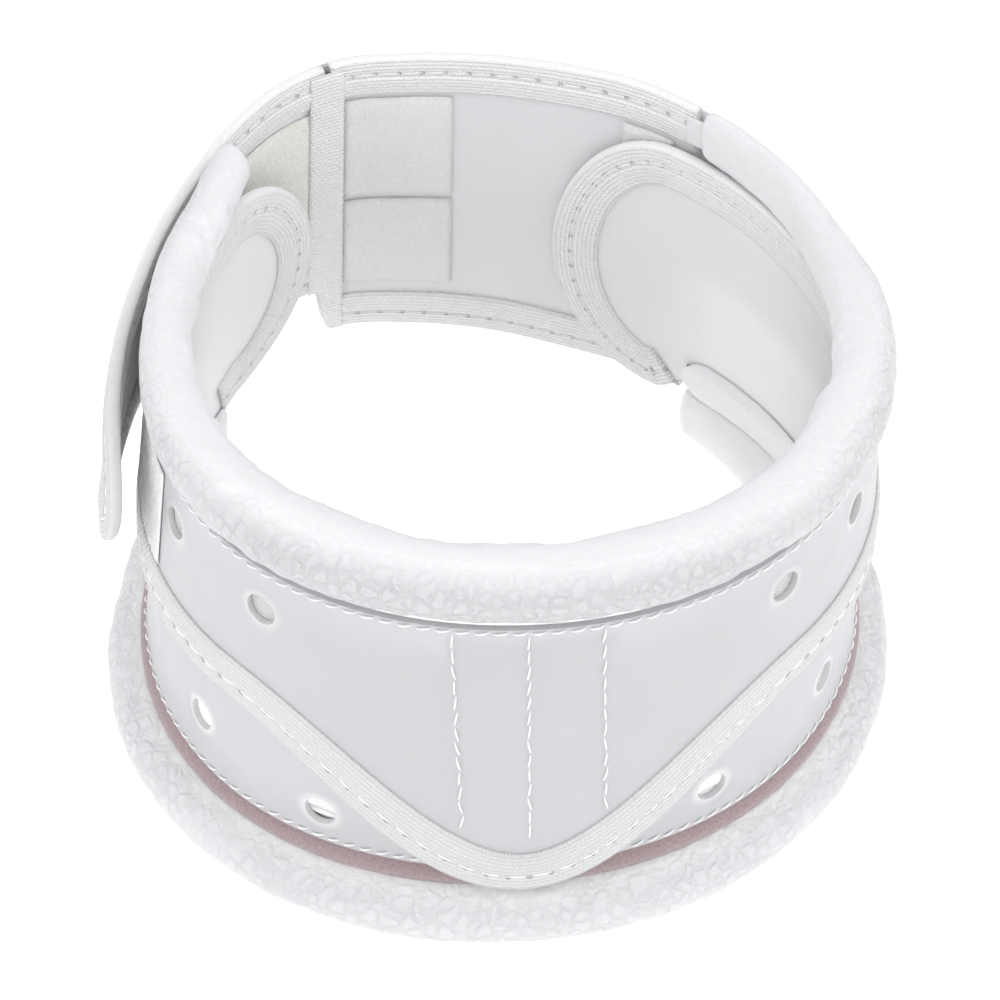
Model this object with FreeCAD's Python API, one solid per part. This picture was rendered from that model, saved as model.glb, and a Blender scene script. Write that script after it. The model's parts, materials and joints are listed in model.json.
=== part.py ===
"""Rigid height-adjustable cervical collar, built from its separate pieces.

Angles run round the collar in degrees: 0 is the front centre (-Y) and positive turns towards +X.
Every sheet follows a cone-like wall given by two plans, one at the top roll and one at the bottom
roll, and is placed by its radial offset from that wall. Lengths are millimetres and +Z is up.
"""
import FreeCAD
import Part
import math
import os

# ---- heights of the two padded rolls -------------------------------------------------------------
TOP_ROLL_Z = 97.5
BOTTOM_ROLL_Z = 7.7
BOTTOM_ROLL_RADIUS = 8.0
ROLL_COVER_THICKNESS = 1.1

# ---- plans, as (angle, radius) stations ----------------------------------------------------------
TOP_PLAN = [(-152, 76.5), (-135, 71.6), (-118, 66.2), (-99, 65.3), (-84, 66.6), (-62, 70.2), (-40, 72.0),
            (0, 71.1), (42, 72.3), (68, 71.3), (90, 69.3), (115, 68.6), (140, 70.2), (169, 72.0)]
BOTTOM_PLAN = [(-152, 79.5), (-135, 77.0), (-118, 75.2), (-99, 74.8), (-84, 77.2), (-62, 80.8), (-40, 81.8),
               (0, 78.9), (42, 78.4), (68, 77.0), (90, 74.8), (115, 73.0), (140, 72.0), (169, 73.2)]
REAR_PLAN = [(143, 74.0), (155, 75.6), (168, 76.3), (180, 78.2), (191, 80.8), (201, 83.8), (210, 83.6),
             (222, 79.9), (233, 76.3), (246, 74.5), (259, 74.4), (272, 76.5), (284, 79.8), (294, 82.6)]
REAR_FLARE = [(143, 1.5), (160, 0.6), (180, 3.4), (201, 6.2), (225, 7.6), (246, 9.2), (272, 9.8), (294, 9.8)]

# ---- top roll section and its sag towards the rear seam, as (angle, length) stations ---------------
TOP_ROLL_HALF_WIDTH = [(-132, 4.4), (-112, 4.9), (-90, 5.4), (-62, 7.0), (-40, 7.8), (0, 7.9), (45, 7.7),
                       (70, 7.3), (90, 6.3), (104, 4.4), (122, 2.5), (142, 1.9)]
TOP_ROLL_HALF_HEIGHT = [(-132, 5.0), (-112, 5.4), (-90, 5.9), (-62, 7.2), (-40, 7.8), (0, 7.9), (45, 7.7),
                        (70, 7.4), (90, 7.0), (104, 6.8), (122, 6.6), (142, 6.2)]
TOP_ROLL_DROP = [(60, 0.0), (72, 0.9), (84, 2.2), (93, 3.2), (100, 4.2), (108, 5.0), (122, 4.8), (141, 4.6)]
TOP_ROLL_START = -132.0
TOP_ROLL_END = 141.0
BOTTOM_ROLL_START = -128.0
BOTTOM_ROLL_END = 141.0
BOTTOM_ROLL_HALF_WIDTH = [(110, 8.0), (120, 7.4), (132, 5.0), (141, 2.8)]

# ---- radial offsets from the wall ------------------------------------------------------------------
LOWER_PANEL_OFFSETS = (-0.7, 0.7)
UPPER_PANEL_OFFSETS = (2.5, 3.8)
REAR_PANEL_OFFSETS = (-0.7, 0.7)
TAPE_THICKNESS = 0.7
LOOP_OFFSETS = (0.72, 1.4)
REAR_LOOP_OFFSETS = (-1.4, -0.82)
TAB_LINING_OFFSETS = (-1.5, -0.82)
HOOK_OFFSETS = (1.8, 2.48)
CLOSURE_LOOP_OFFSETS = (3.82, 4.7)
SEAM_BAND_OFFSETS = (-1.5, -0.72)
COVER_FLAP_OFFSETS = (-2.6, -1.55)

# ---- outlines --------------------------------------------------------------------------------------
TAPE_WIDTH = 10.5
TAPE_FOLD = 0.3
TAPE_FIT = 0.15
LOWER_PANEL_BOTTOM = 19.4
LOWER_PANEL_TOP = 84.0
LOWER_FRONT_DIP = 6.0
LOWER_START = -150.0
LOWER_END = 167.0
LOWER_TAPE_START = -126.0
LOWER_TAPE_END = 141.0
LEFT_TONGUE_ROUND = 19.0
RIGHT_TONGUE_ROUND = 21.0
LEFT_TONGUE_BOTTOM = 26.0
RIGHT_TONGUE_BOTTOM = 12.0

UPPER_START = -131.0
UPPER_END = 141.0
UPPER_SIDE_BOTTOM = 51.7
BIB_BOTTOM = 17.3
BIB_HALF_ANGLE = 45.0
BIB_CENTRE = -1.0
ROLL_CLEARANCE = 0.3

REAR_START = 143.0
REAR_SEAM = 203.0
REAR_BOTTOM = 11.0
REAR_TOP = 95.0

TAB_START = 204.0
TAB_END = 291.0
TAB_ROUND = 17.0
TAB_TOP = 94.6
TAB_SEAM_BOTTOM = 25.0
TAB_END_BOTTOM = 56.0
TAB_RISE_END = 262.0

# ---- ventilation holes -------------------------------------------------------------------------------
HOLE_RADIUS = 3.4
UPPER_HOLES = [(-61.0, 80.0), (-40.5, 79.5), (39.8, 80.0), (58.8, 79.5)]
LOWER_HOLES = [(-53.8, 32.5), (-30.8, 27.5), (28.8, 29.0), (54.7, 33.0)]

# ---- stitching ---------------------------------------------------------------------------------------
STITCH_PITCH = 5.0
STITCH_LENGTH = 3.9
STITCH_WIDTH = 0.55
CENTRE_LINES = [(-11.6, -9.4), (-0.8, 0.0), (9.9, 10.8)]
SURFACE_STEP = 5.0
END_SHARES = (0.12, 0.32, 0.62)
CLOSE_ROWS = 1.0
RING_POINTS = 16


def smooth(stations, x):
    """Value at x of a smooth curve through (position, value) stations, level past both ends."""
    if x <= stations[0][0]:
        return stations[0][1]
    if x >= stations[-1][0]:
        return stations[-1][1]
    slopes = []
    for i in range(len(stations)):
        before = stations[max(i - 1, 0)]
        after = stations[min(i + 1, len(stations) - 1)]
        slopes.append((after[1] - before[1]) / (after[0] - before[0]))
    i = max(k for k in range(len(stations) - 1) if stations[k][0] <= x)
    (x0, y0), (x1, y1) = stations[i], stations[i + 1]
    h = x1 - x0
    t = (x - x0) / h
    return ((1 + 2 * t) * (1 - t) ** 2 * y0 + t * (1 - t) ** 2 * h * slopes[i]
            + t * t * (3 - 2 * t) * y1 + t * t * (t - 1) * h * slopes[i + 1])


def ramp(x, start, end):
    """0 before start, 1 after end, and an S-curve between them."""
    t = min(max((x - start) / (end - start), 0.0), 1.0)
    return t * t * (3 - 2 * t)


def wall_radius(angle, z):
    """Radius of the main wall, between the bottom roll's plan and the top roll's plan."""
    t = (z - BOTTOM_ROLL_Z) / (TOP_ROLL_Z - BOTTOM_ROLL_Z)
    return (1 - t) * smooth(BOTTOM_PLAN, angle) + t * smooth(TOP_PLAN, angle)


def rear_radius(angle, z):
    """Radius of the rear panel and closure tab, which stand outside the main wall."""
    return smooth(REAR_PLAN, angle) + smooth(REAR_FLARE, angle) * (REAR_TOP - z) / (REAR_TOP - REAR_BOTTOM)


def top_roll_z(angle):
    return TOP_ROLL_Z - smooth(TOP_ROLL_DROP, angle)


def polar(radius, angle, z):
    a = math.radians(angle)
    return FreeCAD.Vector(radius * math.sin(a), -radius * math.cos(a), z)


def surface_through(rows):
    surface = Part.BSplineSurface()
    surface.interpolate(rows)
    return surface.toShape()


def sewn_solid(faces):
    shell = Part.makeShell(faces)
    shell.sewShape()
    solid = Part.makeSolid(shell)
    if solid.Volume < 0:
        solid.reverse()
    return solid


def skin(grid, offset, radius):
    """Smooth face through rows of (angle, z) points at a radial offset."""
    return surface_through([[polar(radius(angle, z) + offset, angle, z) for angle, z in row] for row in grid])


def middle(edge):
    return edge.valueAt((edge.FirstParameter + edge.LastParameter) / 2)


def edge_near(face, point):
    return min(face.Edges, key=lambda edge: middle(edge).distanceToPoint(point))


def bridge(face_a, face_b, point):
    """Ruled face between the two faces' edges whose middles are nearest to a point."""
    return Part.makeRuledSurface(edge_near(face_a, point), edge_near(face_b, point))


def with_close_ends(rows):
    """The rows with more of them near both ends, which keeps a surface through them true there.
    Rows that already stand close together are left as they are."""
    def between(a, b):
        if max(abs(x - y) for x, y in zip(a, b)) < CLOSE_ROWS:
            return []
        return [tuple(x + (y - x) * share for x, y in zip(a, b)) for share in END_SHARES]
    start, end = between(rows[0], rows[1]), between(rows[-1], rows[-2])
    return [rows[0]] + start + rows[1:-1] + end[::-1] + [rows[-1]]


def slab(columns, offsets, radius=wall_radius):
    """Sheet between two edges, as a closed solid. A column is (angle, lowest z, highest z)."""
    columns = with_close_ends(columns)
    grid = [[(angle, low + (high - low) * k / 3.0) for k in range(4)] for angle, low, high in columns]
    inner, outer = skin(grid, offsets[0], radius), skin(grid, offsets[1], radius)
    sides = [bridge(inner, outer, middle(edge)) for edge in inner.Edges]
    return sewn_solid([inner, outer] + sides)


def folded_tape(path, offsets, radius=wall_radius):
    """Woven tape folded round a sheet's edge. The path of (angle, z) points is the tape's outer
    edge, the tape lies on its right as seen from outside, and offsets are the sheet's own faces."""
    path = with_close_ends(path)
    normals = []
    for i, (angle, z) in enumerate(path):
        before, after = path[max(i - 1, 0)], path[min(i + 1, len(path) - 1)]
        along = (after[0] - before[0]) * math.radians(radius(angle, z))
        upward = after[1] - before[1]
        length = math.hypot(along, upward)
        normals.append((upward / length / math.radians(radius(angle, z)), -along / length))

    def point(i, width):
        (angle, z), (turn, rise) = path[i], normals[i]
        return angle + turn * width, z + rise * width

    def leg(near, offset):
        widths = [near + (TAPE_WIDTH - near) * k / 3.0 for k in range(4)]
        return skin([[point(i, width) for width in widths] for i in range(len(path))], offset, radius)

    def corner(i, width, offset):
        angle, z = point(i, width)
        return polar(radius(angle, z) + offset, angle, z)

    inner, outer = offsets
    skins = [leg(0.0, inner - TAPE_THICKNESS), leg(TAPE_FOLD, inner - TAPE_FIT),
             leg(TAPE_FOLD, outer + TAPE_FIT), leg(0.0, outer + TAPE_THICKNESS)]
    half = len(path) // 2
    faces = list(skins)
    for a, b, width in ((0, 1, TAPE_WIDTH), (1, 2, TAPE_FOLD), (2, 3, TAPE_WIDTH), (3, 0, 0.0)):
        faces.append(bridge(skins[a], skins[b], corner(half, width, (inner + outer) / 2)))
    for i in (0, len(path) - 1):
        for a, b in ((0, 1), (2, 3)):
            faces.append(bridge(skins[a], skins[b], corner(i, TAPE_WIDTH / 2, (inner + outer) / 2)))
        slot = [corner(i, TAPE_FOLD, inner - TAPE_FIT), corner(i, TAPE_FOLD, outer + TAPE_FIT)]
        fold = [corner(i, 0.0, inner - TAPE_THICKNESS), corner(i, 0.0, outer + TAPE_THICKNESS)]
        faces.append(Part.makeRuledSurface(Part.makeLine(*slot), Part.makeLine(*fold)))
    return sewn_solid(faces)


def span(start, end, low, high, round_start=0.0, round_end=0.0, step=SURFACE_STEP):
    """Columns from start to end, where low and high are functions of the angle. A rounded end
    closes the outline elliptically over that many degrees."""
    angles = []
    first, last = start + round_start, end - round_end
    quarter = [math.radians(t) for t in (9, 17, 26, 36, 47, 58, 69, 80)]
    if round_start:
        angles += [(start + round_start * (1 - math.cos(t)), math.sin(t)) for t in quarter]
    count = max(2, int(round((last - first) / step)))
    angles += [(first + (last - first) * k / count, 1.0) for k in range(count + 1)]
    if round_end:
        angles += [(end - round_end * (1 - math.cos(t)), math.sin(t)) for t in reversed(quarter)]
    columns = []
    for angle, openness in angles:
        centre = (low(angle) + high(angle)) / 2
        half = (high(angle) - low(angle)) / 2 * openness
        columns.append((angle, centre - half, centre + half))
    return columns


def level(value):
    return lambda angle: value


def widened(function, amount):
    return lambda angle: function(angle) + amount


def drilled(panel, places, offset):
    for angle, z in places:
        centre = polar(wall_radius(angle, z) + offset, angle, z)
        outward = polar(1.0, angle, 0.0)
        panel = panel.cut(Part.makeCylinder(HOLE_RADIUS, 12.0, centre - outward * 6.0, outward))
    return panel


# ---- padded rolls ------------------------------------------------------------------------------------
def roll(start, end, centre, half_width, half_height, z, shrink=0.0, step=6.0):
    """Solid roll: one closed surface through oval rings in radial planes, and a flat cap at each end."""
    rings = []
    count = int(round((end - start) / step))
    for k in range(count + 1):
        angle = start + (end - start) * k / count
        across = half_width(angle) - shrink
        upward = half_height(angle) - shrink
        ring = []
        for j in range(RING_POINTS + 1):
            turn = 2 * math.pi * (j % RING_POINTS) / RING_POINTS
            ring.append(polar(centre(angle) - across * math.cos(turn), angle, z(angle) + upward * math.sin(turn)))
        rings.append(ring)
    side = surface_through(rings)
    caps = []
    for ring in (rings[0], rings[-1]):
        edge = min(side.Edges, key=lambda e: max(e.distToShape(Part.Vertex(p))[0] for p in ring[::4]))
        caps.append(Part.Face(Part.Wire(edge)))
    return sewn_solid([side] + caps)


def top_roll(shrink):
    return roll(TOP_ROLL_START, TOP_ROLL_END, lambda a: smooth(TOP_PLAN, a) + 1.2 * ramp(a, 96, 120),
                lambda a: smooth(TOP_ROLL_HALF_WIDTH, a), lambda a: smooth(TOP_ROLL_HALF_HEIGHT, a),
                top_roll_z, shrink)


def bottom_roll(shrink):
    return roll(BOTTOM_ROLL_START, BOTTOM_ROLL_END, lambda a: smooth(BOTTOM_PLAN, a),
                lambda a: smooth(BOTTOM_ROLL_HALF_WIDTH, a), level(BOTTOM_ROLL_RADIUS), level(BOTTOM_ROLL_Z), shrink)


def roll_pieces(make):
    """Foam core, and the vinyl cover wrapped round it."""
    foam = make(min(ROLL_COVER_THICKNESS, 0.9))
    cover = make(0.0).cut(foam)
    return foam, cover


# ---- stitching ---------------------------------------------------------------------------------------
def stitch(start, end):
    """One stitch: a short square thread between two points."""
    along = end - start
    box = Part.makeBox(along.Length, STITCH_WIDTH, STITCH_WIDTH,
                       FreeCAD.Vector(0, -STITCH_WIDTH / 2, -STITCH_WIDTH / 2))
    turn = FreeCAD.Rotation(FreeCAD.Vector(1, 0, 0), along)
    box.Placement = FreeCAD.Placement(start, turn)
    return box


def stitch_row(path, length, offset, radius=wall_radius, slant=0.4):
    """Separate stitches along path(t) -> (angle, z), t from 0 to 1, laid on the sheet's face."""
    count = int(length / STITCH_PITCH)
    share = STITCH_LENGTH / STITCH_PITCH / count
    stitches = []
    for k in range(count):
        (a0, z0), (a1, z1) = path(k / count), path(k / count + share)
        z0, z1 = z0 - slant / 2, z1 + slant / 2
        lift = offset + STITCH_WIDTH / 2 + 0.08
        stitches.append(stitch(polar(radius(a0, z0) + lift, a0, z0), polar(radius(a1, z1) + lift, a1, z1)))
    return stitches


def arc_length(start, end):
    return math.radians(end - start) * 75.0


# ---- lower half ----------------------------------------------------------------------------------------
def lower_low(angle):
    left = (LEFT_TONGUE_BOTTOM - LOWER_PANEL_BOTTOM) * ramp(-angle, 114, 132)
    right = (LOWER_PANEL_BOTTOM - RIGHT_TONGUE_BOTTOM) * ramp(angle, 137.5, 147)
    return LOWER_PANEL_BOTTOM + left - right


def lower_high(angle):
    return LOWER_PANEL_TOP - LOWER_FRONT_DIP * (1 - ramp(abs(angle), 5, 45)) - 2.0 * ramp(-angle, 110, 140)


def lower_outline(grow):
    """Outline of the lower sheet with its rounded tongues, grown (or shrunk) by an even margin."""
    turn = math.degrees(grow / 75.0)
    return span(LOWER_START - turn, LOWER_END + turn, widened(lower_low, -grow), widened(lower_high, grow),
                LEFT_TONGUE_ROUND + turn, RIGHT_TONGUE_ROUND + turn)


def make_lower():
    panel = slab(lower_outline(0.0), LOWER_PANEL_OFFSETS)
    outline = lower_outline(TAPE_THICKNESS)
    path = [(angle, low) for angle, low, high in reversed(outline) if angle < LOWER_TAPE_START]
    path += [(angle, high) for angle, low, high in outline]
    path += [(angle, low) for angle, low, high in reversed(outline) if angle > LOWER_TAPE_END]
    tape = folded_tape(path, LOWER_PANEL_OFFSETS)
    foam, cover = roll_pieces(bottom_roll)
    below = Part.makeBox(400, 400, 20, FreeCAD.Vector(-200, -200, -20))
    band = span(BOTTOM_ROLL_START + 1, BOTTOM_ROLL_END - 1, level(15.95), level(23.5))
    flap = span(BOTTOM_ROLL_START + 1, BOTTOM_ROLL_END - 0.5, level(15.75), level(26.0), round_end=6.0)
    stitches = stitch_row(lambda t: (BOTTOM_ROLL_START + 3 + 262 * t, LOWER_PANEL_BOTTOM + 1.3),
                          arc_length(0, 262), LOWER_PANEL_OFFSETS[1], slant=1.0)
    return {
        "lower_panel": drilled(panel, LOWER_HOLES, 0.0),
        "lower_panel_binding": tape,
        "lower_roll_foam": foam,
        "lower_roll_cover": cover.cut(below),
        "lower_seam_band": slab(band, SEAM_BAND_OFFSETS),
        "lower_cover_flap": slab(flap, COVER_FLAP_OFFSETS),
        "lower_edge_stitching": Part.makeCompound(stitches),
        "height_loop_left": slab(span(13, 25, level(39), level(66.5), step=3.0), LOOP_OFFSETS),
        "height_loop_right": slab(span(-26, -14, level(39), level(66.5), step=3.0), LOOP_OFFSETS),
    }


# ---- upper half ----------------------------------------------------------------------------------------
def bib_low(angle):
    t = min(abs(angle - BIB_CENTRE) / BIB_HALF_ANGLE, 1.0)
    return UPPER_SIDE_BOTTOM - (UPPER_SIDE_BOTTOM - BIB_BOTTOM) * (0.5 + 0.5 * math.cos(math.pi * t))


def upper_high(angle):
    """The sheet stops just under the roll that is sewn over its edge."""
    across = (UPPER_PANEL_OFFSETS[0] + 0.7) / smooth(TOP_ROLL_HALF_WIDTH, angle)
    drop = math.sqrt(max(1 - min(across, 0.97) ** 2, 0.0))
    flat = ramp(angle, 92, 112)
    bulge = smooth(TOP_ROLL_HALF_HEIGHT, angle) * (drop * (1 - flat) + flat)
    return top_roll_z(angle) - bulge - ROLL_CLEARANCE


def make_upper():
    panel = slab(span(UPPER_START, UPPER_END, bib_low, upper_high, step=3.0), UPPER_PANEL_OFFSETS)
    columns = span(UPPER_START, UPPER_END, widened(bib_low, -TAPE_THICKNESS), upper_high, step=3.0)
    tape = folded_tape([(angle, low) for angle, low, high in reversed(columns)], UPPER_PANEL_OFFSETS)
    foam, cover = roll_pieces(top_roll)
    outside = UPPER_PANEL_OFFSETS[1]
    seam = stitch_row(lambda t: (-100 + 190 * t, upper_high(-100 + 190 * t) - 1.4), arc_length(-100, 90), outside)
    centre = []
    for low_angle, high_angle in [(a[1], a[0]) for a in CENTRE_LINES]:
        bottom = bib_low(low_angle) + TAPE_WIDTH + 2.0
        top = 88.0

        def line(t, a0=low_angle, a1=high_angle, z0=bottom, z1=top):
            return a0 + (a1 - a0) * t, z0 + (z1 - z0) * t
        centre += stitch_row(line, top - bottom, outside, slant=0.0)
    return {
        "upper_panel": drilled(panel, UPPER_HOLES, 3.0),
        "upper_panel_binding": tape,
        "upper_roll_foam": foam,
        "upper_roll_cover": cover,
        "upper_roll_stitching": Part.makeCompound(seam),
        "centre_stitching": Part.makeCompound(centre),
        "centre_hook_strip": slab(span(-12.5, 12.5, widened(bib_low, 15.5), level(86), step=3.0), HOOK_OFFSETS),
        "height_hook_left": slab(span(13.6, 21, level(51), level(74), step=3.0), HOOK_OFFSETS),
        "height_hook_right": slab(span(-22, -14.6, level(51), level(74), step=3.0), HOOK_OFFSETS),
        "closure_loop_patch": slab(span(-104, -65.5, level(62.6), level(87.5), step=3.0), CLOSURE_LOOP_OFFSETS),
    }


# ---- rear panel and closure tab ------------------------------------------------------------------------
def make_rear():
    panel = slab(span(REAR_START, REAR_SEAM, level(REAR_BOTTOM), level(REAR_TOP), step=4.0),
                 REAR_PANEL_OFFSETS, rear_radius)
    stations = [REAR_START + (REAR_SEAM - REAR_START) * k / 15.0 for k in range(16)]
    top = [(angle, REAR_TOP + TAPE_THICKNESS) for angle in stations]
    low = [(angle, REAR_BOTTOM - TAPE_THICKNESS) for angle in reversed(stations)]
    seam = stitch_row(lambda t: (REAR_SEAM - 1.6, REAR_BOTTOM + 4 + 78 * t), 78.0,
                      REAR_PANEL_OFFSETS[1] + TAPE_THICKNESS, rear_radius, slant=0.0)
    patches = {}
    for side, start, end in (("right", 184.5, 201.0), ("left", 147.0, 156.5)):
        for part, bottom, height in (("lower", 25.0, 27.5), ("upper", 53.5, 27.5)):
            columns = span(start, end, level(bottom), level(bottom + height), step=4.0)
            patches["rear_loop_%s_%s" % (side, part)] = slab(columns, REAR_LOOP_OFFSETS, rear_radius)
    pieces = {
        "rear_panel": panel,
        "rear_binding_top": folded_tape(top, REAR_PANEL_OFFSETS, rear_radius),
        "rear_binding_bottom": folded_tape(low, REAR_PANEL_OFFSETS, rear_radius),
        "rear_seam_stitching": Part.makeCompound(seam),
    }
    pieces.update(patches)
    return pieces


def tab_low(angle):
    return TAB_SEAM_BOTTOM + (TAB_END_BOTTOM - TAB_SEAM_BOTTOM) * ramp(angle, TAB_START, TAB_RISE_END)


def tab_outline(grow):
    turn = math.degrees(grow / 80.0)
    return span(TAB_START, TAB_END + turn, widened(tab_low, -grow), level(TAB_TOP + grow), 0.0,
                TAB_ROUND + turn, step=4.0)


def make_tab():
    panel = slab(tab_outline(0.0), REAR_PANEL_OFFSETS, rear_radius)
    outline = tab_outline(TAPE_THICKNESS)
    path = [(angle, high) for angle, low, high in outline] + [(angle, low) for angle, low, high in reversed(outline)]
    tape = folded_tape(path, REAR_PANEL_OFFSETS, rear_radius)
    return {
        "tab_panel": panel,
        "tab_binding": tape,
        "tab_hook_lining": slab(tab_outline(-TAPE_WIDTH - 1.2), TAB_LINING_OFFSETS, rear_radius),
    }


def centred(pieces):
    """Moves the pieces so that the origin is at the bottom centre of their common box."""
    box = FreeCAD.BoundBox()
    for shape in pieces.values():
        box.add(shape.optimalBoundingBox(False, False))
    shift = FreeCAD.Vector(-box.Center.x, -box.Center.y, -box.ZMin)
    for shape in pieces.values():
        shape.translate(shift)
    return shift, box


def main():
    os.makedirs("parts", exist_ok=True)
    pieces = {}
    for make in (make_lower, make_upper, make_rear, make_tab):
        pieces.update(make())
    shift, box = centred(pieces)
    print("plan centre (mm): %.3f %.3f %.3f" % (shift.x, shift.y, shift.z))
    print("size (mm): %.1f x %.1f x %.1f" % (box.XLength, box.YLength, box.ZLength))
    for angle, name in ((142.0, "rear hinge"), (203.5, "tab hinge")):
        low, high = [polar(rear_radius(angle, z) + 1.4, angle, z) + shift for z in (REAR_BOTTOM, REAR_TOP)]
        print("%s (mm): from %s to %s" % (name, tuple(low), tuple(high)))
    for name, shape in pieces.items():
        print("%-24s solids %3d  valid %s  volume %9.1f" % (name, len(shape.Solids), shape.isValid(), shape.Volume))
        shape.exportStep("parts/%s.step" % name)


main()
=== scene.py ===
"""Look of the rigid cervical collar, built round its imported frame.

Plan dimensions are millimetres, as in the frame's design, and meshes are metres. Angles run round the
collar in degrees: 0 is the front centre (-Y) and positive turns towards +X.
"""
import json
import math
import random

import bpy
import numpy as np
from mathutils import Matrix, Vector


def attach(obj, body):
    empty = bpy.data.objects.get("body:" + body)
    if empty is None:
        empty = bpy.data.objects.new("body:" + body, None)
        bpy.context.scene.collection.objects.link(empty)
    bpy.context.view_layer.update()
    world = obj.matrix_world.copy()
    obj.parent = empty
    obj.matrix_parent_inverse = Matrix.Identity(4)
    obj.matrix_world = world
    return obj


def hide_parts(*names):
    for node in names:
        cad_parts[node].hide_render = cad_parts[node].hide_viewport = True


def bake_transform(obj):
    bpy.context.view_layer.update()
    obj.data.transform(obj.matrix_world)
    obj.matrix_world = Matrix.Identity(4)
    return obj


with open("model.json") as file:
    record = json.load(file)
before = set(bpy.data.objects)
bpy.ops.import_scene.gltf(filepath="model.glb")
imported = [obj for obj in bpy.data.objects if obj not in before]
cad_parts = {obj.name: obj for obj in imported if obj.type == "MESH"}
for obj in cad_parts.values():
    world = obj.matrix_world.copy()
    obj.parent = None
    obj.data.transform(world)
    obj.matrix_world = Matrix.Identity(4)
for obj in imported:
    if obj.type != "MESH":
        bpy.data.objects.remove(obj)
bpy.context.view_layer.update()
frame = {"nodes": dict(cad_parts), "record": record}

MM = 0.001
PLAN_CENTRE = (0.885, 0.430)

# ---- design dimensions shared with the frame ------------------------------------------------------
TOP_ROLL_Z = 97.5
BOTTOM_ROLL_Z = 7.7
BOTTOM_ROLL_RADIUS = 8.0
TOP_PLAN = [(-152, 76.5), (-135, 71.6), (-118, 66.2), (-99, 65.3), (-84, 66.6), (-62, 70.2), (-40, 72.0),
            (0, 71.1), (42, 72.3), (68, 71.3), (90, 69.3), (115, 68.6), (140, 70.2), (169, 72.0)]
BOTTOM_PLAN = [(-152, 79.5), (-135, 77.0), (-118, 75.2), (-99, 74.8), (-84, 77.2), (-62, 80.8), (-40, 81.8),
               (0, 78.9), (42, 78.4), (68, 77.0), (90, 74.8), (115, 73.0), (140, 72.0), (169, 73.2)]
REAR_PLAN = [(143, 74.0), (155, 75.6), (168, 76.3), (180, 78.2), (191, 80.8), (201, 83.8), (210, 83.6),
             (222, 79.9), (233, 76.3), (246, 74.5), (259, 74.4), (272, 76.5), (284, 79.8), (294, 82.6)]
REAR_FLARE = [(143, 1.5), (160, 0.6), (180, 3.4), (201, 6.2), (225, 7.6), (246, 9.2), (272, 9.8), (294, 9.8)]
TOP_ROLL_HALF_WIDTH = [(-132, 4.4), (-112, 4.9), (-90, 5.4), (-62, 7.0), (-40, 7.8), (0, 7.9), (45, 7.7),
                       (70, 7.3), (90, 6.3), (104, 4.4), (122, 2.5), (142, 1.9)]
TOP_ROLL_HALF_HEIGHT = [(-132, 5.0), (-112, 5.4), (-90, 5.9), (-62, 7.2), (-40, 7.8), (0, 7.9), (45, 7.7),
                        (70, 7.4), (90, 7.0), (104, 6.8), (122, 6.6), (142, 6.2)]
TOP_ROLL_DROP = [(60, 0.0), (72, 0.9), (84, 2.2), (93, 3.2), (100, 4.2), (108, 5.0), (122, 4.8), (141, 4.6)]
BOTTOM_ROLL_HALF_WIDTH = [(110, 8.0), (120, 7.4), (132, 5.0), (141, 2.8)]
TOP_ROLL_ENDS = (-132.0, 141.0)
BOTTOM_ROLL_ENDS = (-128.0, 141.0)
LOWER_FACES = (-0.7, 0.7)
UPPER_FACES = (2.5, 3.8)
REAR_FACES = (-0.7, 0.7)
TAPE_THICKNESS = 0.7
TAPE_WIDTH = 10.5
LOWER_PANEL_BOTTOM = 19.4
LOWER_PANEL_TOP = 84.0
LOWER_FRONT_DIP = 6.0
LOWER_START, LOWER_END = -150.0, 167.0
LOWER_TAPE_START, LOWER_TAPE_END = -126.0, 141.0
LEFT_TONGUE_ROUND, RIGHT_TONGUE_ROUND = 19.0, 21.0
LEFT_TONGUE_BOTTOM, RIGHT_TONGUE_BOTTOM = 26.0, 12.0
UPPER_START, UPPER_END = -131.0, 141.0
UPPER_SIDE_BOTTOM, BIB_BOTTOM = 51.7, 17.3
BIB_HALF_ANGLE, BIB_CENTRE = 45.0, -1.0
REAR_START, REAR_SEAM = 143.0, 203.0
REAR_BOTTOM, REAR_TOP = 11.0, 95.0
TAB_START, TAB_END, TAB_ROUND = 204.0, 291.0, 17.0
TAB_TOP, TAB_SEAM_BOTTOM, TAB_END_BOTTOM, TAB_RISE_END = 94.6, 25.0, 56.0, 262.0
HOLE_RADIUS, HOLE_RIM = 3.4, 2.6
UPPER_HOLES = [(-61.0, 80.0), (-40.5, 79.5), (39.8, 80.0), (58.8, 79.5)]
LOWER_HOLES = [(-53.8, 32.5), (-30.8, 27.5), (28.8, 29.0), (54.7, 33.0)]
CENTRE_LINES = [(-11.6, -9.4), (-0.8, 0.0), (9.9, 10.8)]
CENTRE_LINE_TOP = 89.0

# ---- stitching and tape detail ----------------------------------------------------------------------
TAPE_STITCH_LINE = 4.3
CORD_PITCH = 1.0
BEAD_PITCH = 1.15
STITCH_PITCH = 5.0
TAPE_THREAD = {"wide": 0.24, "length": 4.1}
TAPE_THREAD_BULGE = 0.16
CENTRE_THREAD = {"wide": 0.21, "bulge": 0.22, "pitch": 4.2, "length": 3.7, "sway": 0.7}
EDGE_THREAD = {"wide": 0.22, "bulge": 0.22, "pitch": 3.4, "length": 2.8, "slant": 0.9}
SEAM_THREAD = {"wide": 0.23, "bulge": 0.24, "pitch": 3.4, "length": 2.8, "slant": 0.5}
STITCH_SIDES, STITCH_BEADS = 7, 6

# ---- padded rolls -----------------------------------------------------------------------------------
ROLL_STEP = 1.5
ROLL_AROUND = 36
ROLL_GIRTH = 49.0
ROLL_PATH_RADIUS = 74.0
ROLL_ROUND_END = 2.6
ROLL_START_SIZE = 0.94
ROLL_GATHER = 0.24
ROLL_CAP = 1.5
CLOTH_FRAMES = 20

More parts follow.
